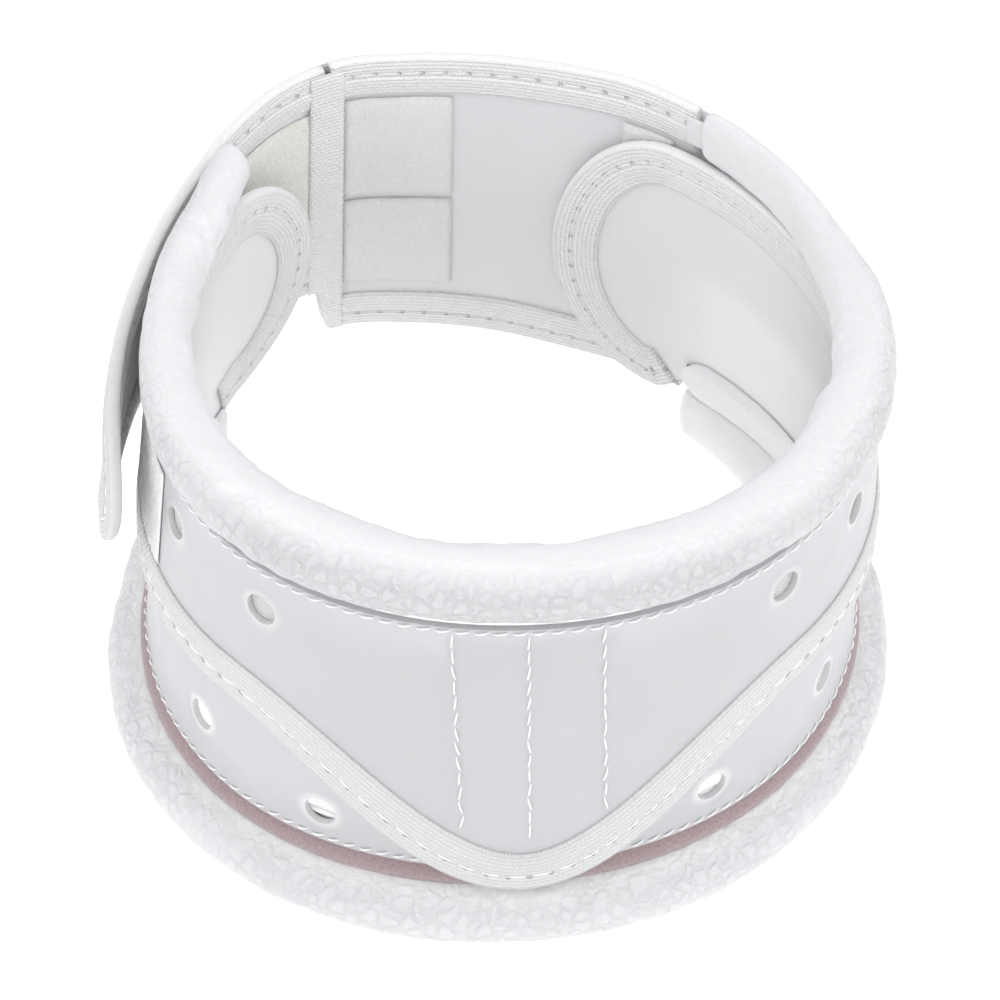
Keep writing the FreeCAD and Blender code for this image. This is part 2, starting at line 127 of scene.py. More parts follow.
# ---- nominal radii that turn degrees into millimetres along a piece --------------------------------
WALL_MEAN_RADIUS = 75.0
TAB_MEAN_RADIUS = 80.0

# ---- strips, as (inner, outer) faces and (start, end) angles and (low, high) heights ----------------
# a dark pinkish band whose colour is painted shade between the lower sheet's edge and the lower roll
SHADE_BAND_FACES, SHADE_BAND_ANGLES, SHADE_BAND_HEIGHTS = (-1.5, -0.74), (-127, 140), (15.3, 23.5)
SHADE_BAND_LEAN, SHADE_BAND_LEAN_TOP = 2.5, 19.8
FLAP_FACES, FLAP_ANGLES, FLAP_HEIGHTS = (-2.6, -1.55), (-127, 140.5), (15.2, 26.0)
FLAP_SMOOTH_V = 30.0
HEIGHT_LOOP_FACES, HEIGHT_LOOP_HEIGHTS = (0.72, 1.4), (39.0, 66.5)
HEIGHT_LOOP_ANGLES = {"left": (13, 25), "right": (-26, -14)}
HOOK_FACES, HEIGHT_HOOK_HEIGHTS = (1.8, 2.46), (51.0, 74.0)
HEIGHT_HOOK_ANGLES = {"left": (13.6, 21), "right": (-22, -14.6)}
CENTRE_HOOK_ANGLES, CENTRE_HOOK_TOP = (-12.5, 12.5), 86.0
CLOSURE_FACES, CLOSURE_ANGLES, CLOSURE_HEIGHTS = (3.82, 4.45), (-104, -65.5), (62.6, 87.5)
REAR_LOOP_FACES = (-1.45, -0.74)
REAR_LOOP_ANGLES = {"right": (184.5, 201.0), "left": (147.0, 156.5)}
REAR_LOOP_HEIGHTS = {"lower": (25.0, 52.5), "upper": (53.5, 84.1)}
LINING_FACES, LINING_MARGIN = (-1.5, -0.74), 11.5
HOLE_CLOTH_FACES, HOLE_CLOTH_ANGLE, HOLE_CLOTH_HEIGHT = (1.85, 2.45), 4.2, 4.6
REAR_SEAM_STRIP, TAB_SEAM_STRIP = (139.0, 144.6), (201.0, 206.5)

# ---- camera and studio: degrees, metres and watts, except the aim, which is millimetres ---------------
CAMERA_ELEVATION, CAMERA_AZIMUTH, CAMERA_ROLL = 48.5, -4.7, 1.2
CAMERA_DISTANCE = 0.700
CAMERA_AIM = (-1.0, -4.0, 45.5)
CAMERA_LENS, CAMERA_SENSOR = 120.96, 36.0
LAMPS = {
    "key": {"place": (-0.90, -0.30, 0.75), "aim": (0, 0, 0.06), "size": (0.8, 0.6), "power": 3.1},
    "front": {"place": (0.05, -1.20, 0.62), "aim": (0, 0.03, 0.07), "size": (1.0, 0.5), "power": 1.6},
    "inside": {"place": (0.0, -0.15, 1.00), "aim": (0, 0.08, 0.05), "size": (0.7, 0.5), "power": 2.0},
    "fill": {"place": (0.90, -0.30, 0.70), "aim": (0, 0, 0.06), "size": (0.8, 0.8), "power": 3.1},
}
WALLS = {"From Min": 0.0, "From Max": 0.75, "To Min": 1.16, "To Max": 0.52}
FLOOR_HALF, FLOOR_GLOW = 3.0, 0.44


# ---- plan geometry --------------------------------------------------------------------------------
def smooth(stations, x):
    """Value at x of a smooth curve through (position, value) stations, level past both ends."""
    if x <= stations[0][0]:
        return stations[0][1]
    if x >= stations[-1][0]:
        return stations[-1][1]
    slopes = []
    for i in range(len(stations)):
        before = stations[max(i - 1, 0)]
        after = stations[min(i + 1, len(stations) - 1)]
        slopes.append((after[1] - before[1]) / (after[0] - before[0]))
    i = max(k for k in range(len(stations) - 1) if stations[k][0] <= x)
    (x0, y0), (x1, y1) = stations[i], stations[i + 1]
    h = x1 - x0
    t = (x - x0) / h
    return ((1 + 2 * t) * (1 - t) ** 2 * y0 + t * (1 - t) ** 2 * h * slopes[i]
            + t * t * (3 - 2 * t) * y1 + t * t * (t - 1) * h * slopes[i + 1])


def ramp(x, start, end):
    """0 before start, 1 after end, and an S-curve between them."""
    t = min(max((x - start) / (end - start), 0.0), 1.0)
    return t * t * (3 - 2 * t)


def wall_radius(angle, z):
    t = (z - BOTTOM_ROLL_Z) / (TOP_ROLL_Z - BOTTOM_ROLL_Z)
    return (1 - t) * smooth(BOTTOM_PLAN, angle) + t * smooth(TOP_PLAN, angle)


def rear_radius(angle, z):
    return smooth(REAR_PLAN, angle) + smooth(REAR_FLARE, angle) * (REAR_TOP - z) / (REAR_TOP - REAR_BOTTOM)


def polar(radius, angle, z):
    """Point in metres in the frame, from plan polar coordinates in millimetres."""
    a = math.radians(angle)
    return Vector(((radius * math.sin(a) + PLAN_CENTRE[0]) * MM,
                   (PLAN_CENTRE[1] - radius * math.cos(a)) * MM, z * MM))


# ---- materials ------------------------------------------------------------------------------------
class Paint:
    """A node material being written: short calls that add one node each and return its output."""

    def __init__(self, name):
        self.material = bpy.data.materials.new(name)
        self.material.use_nodes = True
        self.tree = self.material.node_tree
        self.shader = next(n for n in self.tree.nodes if n.type == "BSDF_PRINCIPLED")

    def plug(self, socket, value):
        if isinstance(value, bpy.types.NodeSocket):
            self.tree.links.new(value, socket)
        else:
            socket.default_value = value

    def node(self, kind, inputs=(), **settings):
        made = self.tree.nodes.new(kind)
        for key, value in settings.items():
            setattr(made, key, value)
        for key, value in dict(inputs).items():
            self.plug(made.inputs[key], value)
        return made

    def coordinates(self, kind="Object"):
        return self.node("ShaderNodeTexCoord").outputs[kind]

    def scaled(self, vector, scale):
        return self.node("ShaderNodeMapping", {"Vector": vector, "Scale": scale}).outputs[0]

    def noise(self, vector, scale, detail=3.0, roughness=0.5):
        return self.node("ShaderNodeTexNoise", {"Vector": vector, "Scale": scale, "Detail": detail,
                                                "Roughness": roughness}).outputs["Fac"]

    def cells(self, vector, scale):
        inputs = {"Vector": vector, "Scale": scale}
        return self.node("ShaderNodeTexVoronoi", inputs, feature="DISTANCE_TO_EDGE").outputs["Distance"]

    def math(self, operation, a, b=0.0, clamp=False):
        made = self.node("ShaderNodeMath", operation=operation, use_clamp=clamp)
        self.plug(made.inputs[0], a)
        self.plug(made.inputs[1], b)
        return made.outputs[0]

    def band(self, value, low, high, out_low=0.0, out_high=1.0):
        """Smooth step of a value from low to high, scaled to an output range."""
        return self.node("ShaderNodeMapRange", {"Value": value, "From Min": low, "From Max": high,
                                                "To Min": out_low, "To Max": out_high},
                         interpolation_type="SMOOTHSTEP").outputs[0]

    def warped(self, vector, noise_scale, amount):
        """Coordinates pushed about by a noise, so that regular patterns lose their regularity."""
        made = self.node("ShaderNodeTexNoise", {"Vector": vector, "Scale": noise_scale, "Detail": 2.0})
        push = self.node("ShaderNodeVectorMath", {0: made.outputs["Color"], 1: (0.5, 0.5, 0.5)},
                         operation="SUBTRACT").outputs[0]
        push = self.node("ShaderNodeVectorMath", {0: push, "Scale": amount}, operation="SCALE").outputs[0]
        return self.node("ShaderNodeVectorMath", {0: vector, 1: push}, operation="ADD").outputs[0]

    def blend(self, factor, a, b):
        made = self.node("ShaderNodeMix", data_type="RGBA")
        self.plug(made.inputs["Factor"], factor)
        self.plug(made.inputs[6], a)
        self.plug(made.inputs[7], b)
        return made.outputs[2]

    def bump(self, height, distance, strength=1.0, under=None):
        inputs = {"Height": height, "Distance": distance, "Strength": strength}
        made = self.node("ShaderNodeBump", inputs)
        if under is not None:
            self.plug(made.inputs["Normal"], under)
        return made.outputs[0]

    def set(self, **values):
        """Sets the shader's own sockets; an underscore in a key stands for a space."""
        for key, value in values.items():
            self.plug(self.shader.inputs[key.replace("_", " ")], value)
        return self.material


def grey(value, tint=(0.0, 0.0, 0.0)):
    return (value + tint[0], value + tint[1], value + tint[2], 1.0)


def sheet_material(name, value, transmission, holes=(), hole_offset=0.0, backlit_value=None):
    """Milky translucent polyethylene with a faint orange-peel surface and a soft pressed rim round
    each punched hole, where the colour is lightened as a painted highlight. A backlit_value is the
    brightness that its colour is graded to towards the back, as painted light for light coming through
    the sheet from behind."""
    paint = Paint(name)
    at = paint.coordinates()
    cloud = paint.noise(at, 28.0, 2.0)
    colour = paint.blend(cloud, grey(value - 0.02, (0, 0, 0.008)), grey(value + 0.01, (0, 0, 0.012)))
    # painted light: the colour grows lighter towards the back, standing in for light through the sheet from
    # behind
    if backlit_value is not None:
        depth = paint.node("ShaderNodeSeparateXYZ", {"Vector": at}).outputs["Y"]
        colour = paint.blend(paint.band(depth, 0.0, 0.045), colour, grey(backlit_value, (0, 0, 0.006)))
    under = paint.bump(paint.noise(at, 38.0, 1.0), 0.0012, 0.35)
    height = paint.noise(at, 900.0, 2.0)
    rims = None
    for angle, z in holes:
        centre = polar(wall_radius(angle, z) + hole_offset, angle, z)
        reach = paint.node("ShaderNodeVectorMath", {0: at, 1: tuple(centre)}, operation="DISTANCE")
        reach = reach.outputs["Value"]
        rim = paint.band(reach, (HOLE_RADIUS + HOLE_RIM) * MM, HOLE_RADIUS * MM)
        rims = rim if rims is None else paint.math("MAXIMUM", rims, rim)
    if rims is not None:
        under = paint.bump(rims, 0.0006, 0.8, under)
        # painted highlight: the colour is lightened round each hole's pressed rim
        colour = paint.blend(paint.math("MULTIPLY", rims, 0.5), colour, grey(0.95))
    rough = paint.band(paint.noise(at, 160.0, 3.0), 0.3, 0.7, 0.32, 0.44)
    return paint.set(Base_Color=colour, Roughness=rough, IOR=1.5, Transmission_Weight=transmission,
                     Subsurface_Weight=0.25, Subsurface_Radius=(0.004, 0.004, 0.004), Subsurface_Scale=1.0,
                     Normal=paint.bump(height, 0.00004, 0.3, under))


def vinyl_material(name, value, depth, tint, grain_and_shade_side):
    """Soft vinyl with a creased leather grain. UV is millimetres along the roll and round it: V is 0 on
    the inner side and a quarter turn is the top. Between the two values of V in grain_and_shade_side
    the grain is deepest and the colour is darkened as painted shade over the roll's outer side and
    underside; the grain's creases are darkened as painted shade too."""
    paint = Paint(name)
    uv = paint.coordinates("UV")
    bent = paint.warped(uv, 0.16, 2.6)
    webs = paint.band(paint.cells(paint.scaled(bent, (0.38, 0.26, 1.0)), 1.0), 0.0, 0.24)
    small = paint.warped(uv, 0.5, 0.9)
    cells = paint.band(paint.cells(paint.scaled(small, (0.80, 0.55, 1.0)), 1.0), 0.0, 0.30)
    pebbles = paint.band(paint.cells(paint.warped(uv, 1.3, 0.5), 1.5), 0.0, 0.4)
    folds = paint.noise(paint.scaled(uv, (0.045, 0.22, 1.0)), 1.0, 3.0)
    patchy = paint.band(paint.noise(uv, 0.07, 2.0), 0.32, 0.60, 0.45, 1.0)
    around = paint.node("ShaderNodeSeparateXYZ", {"Vector": uv}).outputs["Y"]
    start, end = grain_and_shade_side
    rise = paint.band(around, start - 6.0, start + 4.0)
    side = paint.math("MULTIPLY", rise, paint.band(around, end + 5.0, end - 2.0))
    strength = paint.math("ADD", paint.math("MULTIPLY", paint.math("MULTIPLY", side, 0.80), patchy), 0.20)
    height = paint.math("ADD", paint.math("MULTIPLY", webs, 0.75), paint.math("MULTIPLY", cells, 0.25))
    height = paint.math("MULTIPLY", height, strength)
    height = paint.math("ADD", height, paint.math("MULTIPLY", folds, 1.5))
    height = paint.math("ADD", height, paint.math("MULTIPLY", pebbles, 0.06))
    # painted shade: crease_shade darkens the grain's creases, and side darkens the roll's outer side and
    # underside
    crease_shade = paint.math("MULTIPLY", paint.math("SUBTRACT", 1.0, webs), strength)
    shade = paint.math("ADD", paint.math("MULTIPLY", crease_shade, 0.16), paint.math("MULTIPLY", side, 0.85), True)
    colour = paint.blend(shade, grey(value, tint), grey(value - 0.30, tint))
    rough = paint.band(paint.noise(uv, 0.6, 3.0), 0.3, 0.7, 0.34, 0.50)
    return paint.set(Base_Color=colour, Roughness=rough, IOR=1.5, Coat_Weight=0.10, Coat_Roughness=0.35,
                     Subsurface_Weight=0.10, Subsurface_Radius=(0.002, 0.002, 0.002), Subsurface_Scale=1.0,
                     Normal=paint.bump(height, depth, 1.0))


def tape_material(name, value):
    """Woven binding tape: cords along its length, each beaded by the weft, and needle holes along
    one stitch line. Its colour is graded from greyer at the front to lighter at the back, as painted
    shade at the front, and the gaps between cords and the needle holes are darkened as painted shade.
    UV is millimetres along the tape and in from its fold."""
    paint = Paint(name)
    uv = paint.coordinates("UV")
    split = paint.node("ShaderNodeSeparateXYZ", {"Vector": paint.warped(uv, 0.5, 0.18)})
    along, across = split.outputs["X"], split.outputs["Y"]
    cord = paint.math("ABSOLUTE", paint.math("SINE", paint.math("MULTIPLY", across, math.pi / CORD_PITCH)))
    row = paint.math("FLOOR", paint.math("DIVIDE", across, CORD_PITCH))
    stagger = paint.math("MULTIPLY", paint.math("MODULO", row, 2.0), math.pi / 2)
    bead = paint.math("ABSOLUTE", paint.math("SINE", paint.math("ADD", paint.math(
        "MULTIPLY", along, math.pi / BEAD_PITCH), stagger)))
    half_bead = paint.math("ADD", paint.math("MULTIPLY", bead, 0.65), 0.35)
    weave = paint.math("MULTIPLY", paint.math("POWER", cord, 0.6), half_bead)
    cycle = paint.math("FRACT", paint.math("ADD", paint.math("DIVIDE", along, STITCH_PITCH), 0.09))
    near_along = paint.math("MULTIPLY", paint.math("SUBTRACT", cycle, 0.5), STITCH_PITCH)
    near_across = paint.math("SUBTRACT", across, TAPE_STITCH_LINE)
    spread = paint.math("ADD", paint.math("POWER", near_along, 2.0), paint.math("POWER", near_across, 2.0))
    hole = paint.band(spread, 0.5, 0.06)
    frayed = paint.noise(uv, 1.4, 3.0)
    depth = paint.node("ShaderNodeSeparateXYZ", {"Vector": paint.coordinates()}).outputs["Y"]
    # painted shade: front greys the tape towards the front of the collar
    front = paint.math("SUBTRACT", 1.0, paint.band(depth, -0.03, 0.04))
    # painted shade in the gaps between the cords
    colour = paint.blend(weave, grey(value - 0.05), grey(value))
    colour = paint.blend(paint.math("MULTIPLY", front, 0.85), colour, grey(value - 0.32))
    # painted shade in the needle holes
    colour = paint.blend(paint.math("MULTIPLY", hole, 0.45), colour, grey(0.40, (0.03, 0.01, -0.02)))
    height = paint.math("ADD", weave, paint.math("MULTIPLY", frayed, 0.3))
    height = paint.math("SUBTRACT", height, paint.math("MULTIPLY", hole, 1.6))
    return paint.set(Base_Color=colour, Roughness=0.6, Sheen_Weight=0.25, Sheen_Roughness=0.4,
                     Normal=paint.bump(height, 0.0003, 1.0))


def textile_material(name, colour_low, colour_high, scale, depth):
    """Fuzzy or felted textile: fine fibres over soft lumps. The seam band painted with it is dark as painted
    shade.
    """
    paint = Paint(name)
    at = paint.coordinates()
    fibres = paint.noise(at, scale, 4.0, 0.7)
    lumps = paint.noise(at, scale / 6, 2.0)
    colour = paint.blend(paint.band(fibres, 0.3, 0.7), colour_low, colour_high)
    height = paint.math("ADD", fibres, lumps)
    return paint.set(Base_Color=colour, Roughness=0.85, Sheen_Weight=0.5, Sheen_Roughness=0.5,
                     Normal=paint.bump(height, depth, 0.9))


def thread_material(name, value):
    """Twisted polyester thread, with the twist along the UV."""
    paint = Paint(name)
    uv = paint.coordinates("UV")
    split = paint.node("ShaderNodeSeparateXYZ", {"Vector": uv})
    twist = paint.math("SINE", paint.math("ADD", paint.math("MULTIPLY", split.outputs["X"], 9.0),
                                          paint.math("MULTIPLY", split.outputs["Y"], 6.3)))
    lift = paint.band(twist, -1.0, 1.0)
    # painted shade: the twist's grooves are a little darker
    colour = paint.blend(lift, grey(value - 0.05), grey(value))
    return paint.set(Base_Color=colour, Roughness=0.45, Sheen_Weight=0.3, Sheen_Roughness=0.3,
                     Normal=paint.bump(lift, 0.00008, 0.8))


MATERIALS = {
    # the four sheets are one polyethylene: the front ones get darker values as painted shade, the rear and
    # tab lighter ones as painted light
    "lower_sheet": sheet_material("lower_sheet", 0.60, 0.14, LOWER_HOLES, 0.7, 0.98),
    "upper_sheet": sheet_material("upper_sheet", 0.69, 0.26, UPPER_HOLES, 3.8),
    "rear_sheet": sheet_material("rear_sheet", 0.86, 0.22),
    "tab_sheet": sheet_material("tab_sheet", 0.93, 0.1),
    "upper_vinyl": vinyl_material("upper_vinyl", 0.85, 0.00036, (0.004, -0.002, 0.008), (18.0, 38.0)),
    "lower_vinyl": vinyl_material("lower_vinyl", 0.92, 0.00032, (0.0, 0.0, 0.006), (16.0, 34.0)),
    "woven_tape": tape_material("woven_tape", 0.95),
    # seam_band's dark pinkish colour is painted shade, with a pinkish cast
    "seam_band": textile_material("seam_band", (0.33, 0.24, 0.245, 1), (0.44, 0.34, 0.35, 1), 1800.0,
                                  0.0003),
    "loop_textile": textile_material("loop_textile", grey(0.90), grey(0.97), 1400.0, 0.0006),
    "hook_textile": textile_material("hook_textile", (0.82, 0.80, 0.74, 1), (0.94, 0.92, 0.87, 1), 1100.0,
                                     0.0004),
    "thread": thread_material("thread", 0.97),
}


# ---- outlines of the sheets, as (angle, lowest z, highest z) columns ------------------------------
def stations(start, end, step):
    count = max(1, int(round((end - start) / step)))
    return [start + (end - start) * k / count for k in range(count + 1)]


def span(start, end, low, high, round_start=0.0, round_end=0.0, step=1.0):
    """Columns from start to end, closed elliptically over a rounded end."""
    quarter = [math.radians(t) for t in stations(4, 84, 5)]
    parts = []
    if round_start:
        parts += [(start + round_start * (1 - math.cos(t)), math.sin(t)) for t in quarter]
    parts += [(angle, 1.0) for angle in stations(start + round_start, end - round_end, step)]
    if round_end:
        parts += [(end - round_end * (1 - math.cos(t)), math.sin(t)) for t in reversed(quarter)]
    columns = []
    for angle, openness in parts:
        centre = (low(angle) + high(angle)) / 2
        half = (high(angle) - low(angle)) / 2 * openness
        columns.append((angle, centre - half, centre + half))
    return columns


def level(z):
    return lambda angle: z


def lower_low(angle):
    left = (LEFT_TONGUE_BOTTOM - LOWER_PANEL_BOTTOM) * ramp(-angle, 114, 132)
    right = (LOWER_PANEL_BOTTOM - RIGHT_TONGUE_BOTTOM) * ramp(angle, 137.5, 147)
    return LOWER_PANEL_BOTTOM + left - right


def lower_high(angle):
    return LOWER_PANEL_TOP - LOWER_FRONT_DIP * (1 - ramp(abs(angle), 5, 45)) - 2.0 * ramp(-angle, 110, 140)


def bib_low(angle):
    t = min(abs(angle - BIB_CENTRE) / BIB_HALF_ANGLE, 1.0)
    return UPPER_SIDE_BOTTOM - (UPPER_SIDE_BOTTOM - BIB_BOTTOM) * (0.5 + 0.5 * math.cos(math.pi * t))


def tab_low(angle):
    return TAB_SEAM_BOTTOM + (TAB_END_BOTTOM - TAB_SEAM_BOTTOM) * ramp(angle, TAB_START, TAB_RISE_END)


def top_roll_z(angle):
    return TOP_ROLL_Z - smooth(TOP_ROLL_DROP, angle)


def under_top_roll(angle):
    """Height of the crease between the top roll and the upper sheet's outer face."""
    across = (UPPER_FACES[0] + 0.7) / smooth(TOP_ROLL_HALF_WIDTH, angle)
    drop = math.sqrt(max(1 - min(across, 0.97) ** 2, 0.0))
    flat = ramp(angle, 92, 112)
    return top_roll_z(angle) - smooth(TOP_ROLL_HALF_HEIGHT, angle) * (drop * (1 - flat) + flat)


def lower_edge():
    """The lower binding's path: up round the left tongue, along the top, down round the right one."""
    turn = math.degrees(TAPE_THICKNESS / WALL_MEAN_RADIUS)
    columns = span(LOWER_START - turn, LOWER_END + turn,
                   lambda a: lower_low(a) - TAPE_THICKNESS, lambda a: lower_high(a) + TAPE_THICKNESS,
                   LEFT_TONGUE_ROUND + turn, RIGHT_TONGUE_ROUND + turn)
    path = [(angle, low) for angle, low, high in reversed(columns) if angle < LOWER_TAPE_START]
    path += [(angle, high) for angle, low, high in columns]
    return path + [(angle, low) for angle, low, high in reversed(columns) if angle > LOWER_TAPE_END]


def bib_edge():
    angles = reversed(stations(UPPER_START, UPPER_END, 1.0))
    return [(angle, bib_low(angle) - TAPE_THICKNESS) for angle in angles]


def tab_edge():
    turn = math.degrees(TAPE_THICKNESS / TAB_MEAN_RADIUS)
    columns = span(TAB_START, TAB_END + turn, lambda a: tab_low(a) - TAPE_THICKNESS,
                   level(TAB_TOP + TAPE_THICKNESS), 0.0, TAB_ROUND + turn)
    return [(a, high) for a, low, high in columns] + [(a, low) for a, low, high in reversed(columns)]


# ---- mesh helpers ---------------------------------------------------------------------------------
def outward(points, faces):
    """The faces wound so that they look out of the closed solids they make."""
    place = np.array([tuple(p) for p in points])
    volume = 0.0
    for face in faces:
        corners = place[list(face)]
        turns = np.cross(corners[1:-1], corners[2:])
        volume += float((turns @ corners[0]).sum())
    return faces if volume > 0 else [face[::-1] for face in faces]


def carry_round(mesh, turn):
    """Lets V run on past a full turn in the faces that close a ring, instead of back to its start."""
    uv = mesh.uv_layers[0].data
    for face in mesh.polygons:
        loops = list(face.loop_indices)
        top = max(uv[i].uv.y for i in loops)
        for i in loops:
            if len(loops) == 4 and top - uv[i].uv.y > turn / 2:
                uv[i].uv.y += turn


def mesh_object(name, points, faces, uvs, slot):
    """Smooth-shaded object from point, face and per-point UV lists, painted with its slot's material."""
    mesh = bpy.data.meshes.new(name)
    mesh.from_pydata([tuple(p) for p in points], [], outward(points, faces))
    layer = mesh.uv_layers.new(name="UVMap")
    index = np.empty(len(mesh.loops), dtype=np.int32)
    mesh.loops.foreach_get("vertex_index", index)
    layer.data.foreach_set("uv", np.asarray(uvs, dtype=np.float32)[index].ravel())
    mesh.polygons.foreach_set("use_smooth", [True] * len(mesh.polygons))
    mesh.materials.append(MATERIALS[slot])
    made = bpy.data.objects.new(name, mesh)
    bpy.context.scene.collection.objects.link(made)
    return made


def tube_faces(ring_count, size, first=0):
    """Quads joining ring k to ring k + 1, and one face closing each end."""
    faces = []
    for i in range(ring_count - 1):
        for j in range(size):
            k = (j + 1) % size
            a, b = first + i * size, first + (i + 1) * size
            faces.append((a + j, a + k, b + k, b + j))
    last = first + (ring_count - 1) * size
    faces.append(tuple(first + j for j in reversed(range(size))))
    faces.append(tuple(last + j for j in range(size)))
    return faces


def swept(name, rings, uv_rings, slot):
    points = [p for ring in rings for p in ring]
    uvs = [uv for ring in uv_rings for uv in ring]
    return mesh_object(name, points, tube_faces(len(rings), len(rings[0])), uvs, slot)


def patch(name, columns, offsets, slot, radius=wall_radius, rows=14, fuzz=0.0, lean=lambda z: 0.0,
          first_v=0.0):
    """Closed strip between two edges, with rounded rims and, for a textile, an uneven pile. lean gives
    how much further out it stands at a height, and V is the height plus first_v."""
    rng = random.Random(name)
    inner, outer = offsets
    thick = outer - inner
    rings, uv_rings, length = [], [], 0.0
    for i, (angle, low, high) in enumerate(columns):
        if i:
            length += math.radians(angle - columns[i - 1][0]) * WALL_MEAN_RADIUS
        end = min(i, len(columns) - 1 - i) * math.radians(columns[1][0] - columns[0][0]) * WALL_MEAN_RADIUS
        ring, uvs = [], []
        for k in list(range(rows + 1)) + list(reversed(range(rows + 1))):
            share = k / rows
            front = len(ring) <= rows
            rim = min(share, 1 - share) * (high - low)
            from_rim = min(rim, end) / thick
            tuck = 0.42 * thick * max(0.0, 1 - from_rim) ** 2
            pile = fuzz * rng.uniform(-1, 1) * min(from_rim, 1.0)
            offset = outer - tuck + pile if front else inner + tuck
            z = low + (high - low) * share + (fuzz * rng.uniform(-1, 1) if k in (0, rows) else 0.0)
            ring.append(polar(radius(angle, z) + offset + lean(z), angle, z))
            uvs.append((length, first_v + z))
        rings.append(ring)
        uv_rings.append(uvs)
    return swept(name, rings, uv_rings, slot)


def tape_frame(path, radius):
    """Running length and inward direction, in degrees and millimetres, at each point of a path."""
    frames, length = [], 0.0
    for i, (angle, z) in enumerate(path):
        before, after = path[max(i - 1, 0)], path[min(i + 1, len(path) - 1)]
        turn = math.radians(radius(angle, z))
        along, upward = (after[0] - before[0]) * turn, after[1] - before[1]
        size = math.hypot(along, upward)
        if i:
            length += math.hypot((angle - path[i - 1][0]) * turn, z - path[i - 1][1])
        frames.append((length, upward / size / turn, -along / size))
    return frames


def binding(name, path, faces, radius=wall_radius, puff=0.25):
    """Woven tape folded over a sheet's edge: legs on both faces, crowned by puff and pulled in along the
    stitch line, and a round fold."""
    width = TAPE_WIDTH
    inner, outer = faces
    skin_in, skin_out = inner - TAPE_THICKNESS, outer + TAPE_THICKNESS
    middle, half = (skin_in + skin_out) / 2, (skin_out - skin_in) / 2
    profile = [(width + 0.1, outer - 0.05, width), (width, skin_out - 0.3, width)]
    for d in reversed(stations(0.8, width - 0.35, 0.7)):
        pull = 1.3 * math.exp(-((d - TAPE_STITCH_LINE) / 0.7) ** 2)
        crown = puff * (math.sin(math.pi * (d - 0.5) / width) ** 2 - pull)
        profile.append((d, skin_out + crown, d))
    for t in stations(-60, 60, 30):
        a = math.radians(t)
        profile.append((0.8 - 0.8 * math.cos(a), middle - half * math.sin(a), abs(0.02 * t / 60)))
    profile += [(d, middle - (offset - middle), v) for d, offset, v in reversed(profile[:-5])]
    profile += [(0.6, inner - 0.05, 0.6), (0.6, outer + 0.05, 0.6)]
    rings, uv_rings = [], []
    for (angle, z), (length, turn, rise) in zip(path, tape_frame(path, radius)):
        ring = []
        for d, offset, v in profile:
            a, h = angle + turn * d, z + rise * d
            ring.append(polar(radius(a, h) + offset, a, h))
        rings.append(ring)
        uv_rings.append([(length, v) for d, offset, v in profile])
    return swept(name, rings, uv_rings, "woven_tape")


def finer(path, step=1.2, radius=wall_radius):
    """The path with its long runs divided into parts of step millimetres or a little more."""
    result = [path[0]]
    for (a0, z0), (a1, z1) in zip(path, path[1:]):
        turn = math.radians(radius(a0, z0))
        count = max(1, int(math.hypot((a1 - a0) * turn, z1 - z0) / step))
        result += [(a0 + (a1 - a0) * k / count, z0 + (z1 - z0) * k / count) for k in range(1, count + 1)]
    return result


# ---- stitches -------------------------------------------------------------------------------------
def walk(path, radius, pitch):
    """The place on an (angle, z) path as a function of the distance walked, and where stitches start."""
    frames = tape_frame(path, radius)
    total = frames[-1][0]

    def at(distance):
        distance = min(max(distance, 0.0), total)
        i = max(k for k in range(len(path) - 1) if frames[k][0] <= distance + 1e-9)
        gap = max(frames[i + 1][0] - frames[i][0], 1e-9)
        t = (distance - frames[i][0]) / gap
        return tuple(path[i][n] + (path[i + 1][n] - path[i][n]) * t for n in (0, 1))
    return at, stations(pitch / 2, total - pitch, pitch)


def stitches(name, paths, offset, radius=wall_radius, pitch=STITCH_PITCH, length=3.9, wide=0.27,
             slant=0.0, bulge=0.22, sway=0.0):
    """Rows of separate stitches: each dives into the sheet at both ends and swells between them. slant
    and sway turn them off the row, sway by a random share."""
    rng = random.Random(name)
    points, uvs, faces = [], [], []
    for path in paths:
        at, starts = walk(path, radius, pitch)
        for start in starts:
            skew = slant + rng.uniform(-0.12, 0.12)
            lean = sway * rng.uniform(-1.0, 1.0)
            rows = []
            for k in range(STITCH_BEADS + 1):
                t = k / STITCH_BEADS
                angle, z = at(start + length * t)
                z += skew * (t - 0.5)
                angle += lean * (t - 0.5)
                lift = offset + bulge * math.sin(math.pi * t) - 0.18 * (1 - math.sin(math.pi * t)) ** 3
                rows.append(polar(radius(angle, z) + lift, angle, z))
            along = (rows[-1] - rows[0]).normalized()
            middle = rows[STITCH_BEADS // 2]
            out = Vector((middle.x - PLAN_CENTRE[0] * MM, middle.y - PLAN_CENTRE[1] * MM, 0)).normalized()
            side = along.cross(out).normalized()
            first = len(points)
            for k, centre in enumerate(rows):
                size = wide * MM * (0.45 + 0.55 * math.sin(math.pi * k / STITCH_BEADS) ** 0.5)
                for j in range(STITCH_SIDES):
                    turn = 2 * math.pi * j / STITCH_SIDES
                    points.append(centre + (side * math.cos(turn) + out * math.sin(turn)) * size)
                    uvs.append((start + length * k / STITCH_BEADS, j / STITCH_SIDES))
            faces += tube_faces(STITCH_BEADS + 1, STITCH_SIDES, first)
    return mesh_object(name, points, faces, uvs, "thread")


def inset(path, distance, radius=wall_radius):
    """The path moved inwards from a binding's fold."""
    return [(angle + turn * distance, z + rise * distance)
            for (angle, z), (length, turn, rise) in zip(path, tape_frame(path, radius))]


# ---- padded rolls ---------------------------------------------------------------------------------
def calm(share):
    """1 where a roll, a share of the way along, is flattened or tucked in at an end, and 0 between."""
    return max(ramp(share, 0.78, 0.88), 1 - ramp(share, 0.02, 0.08))


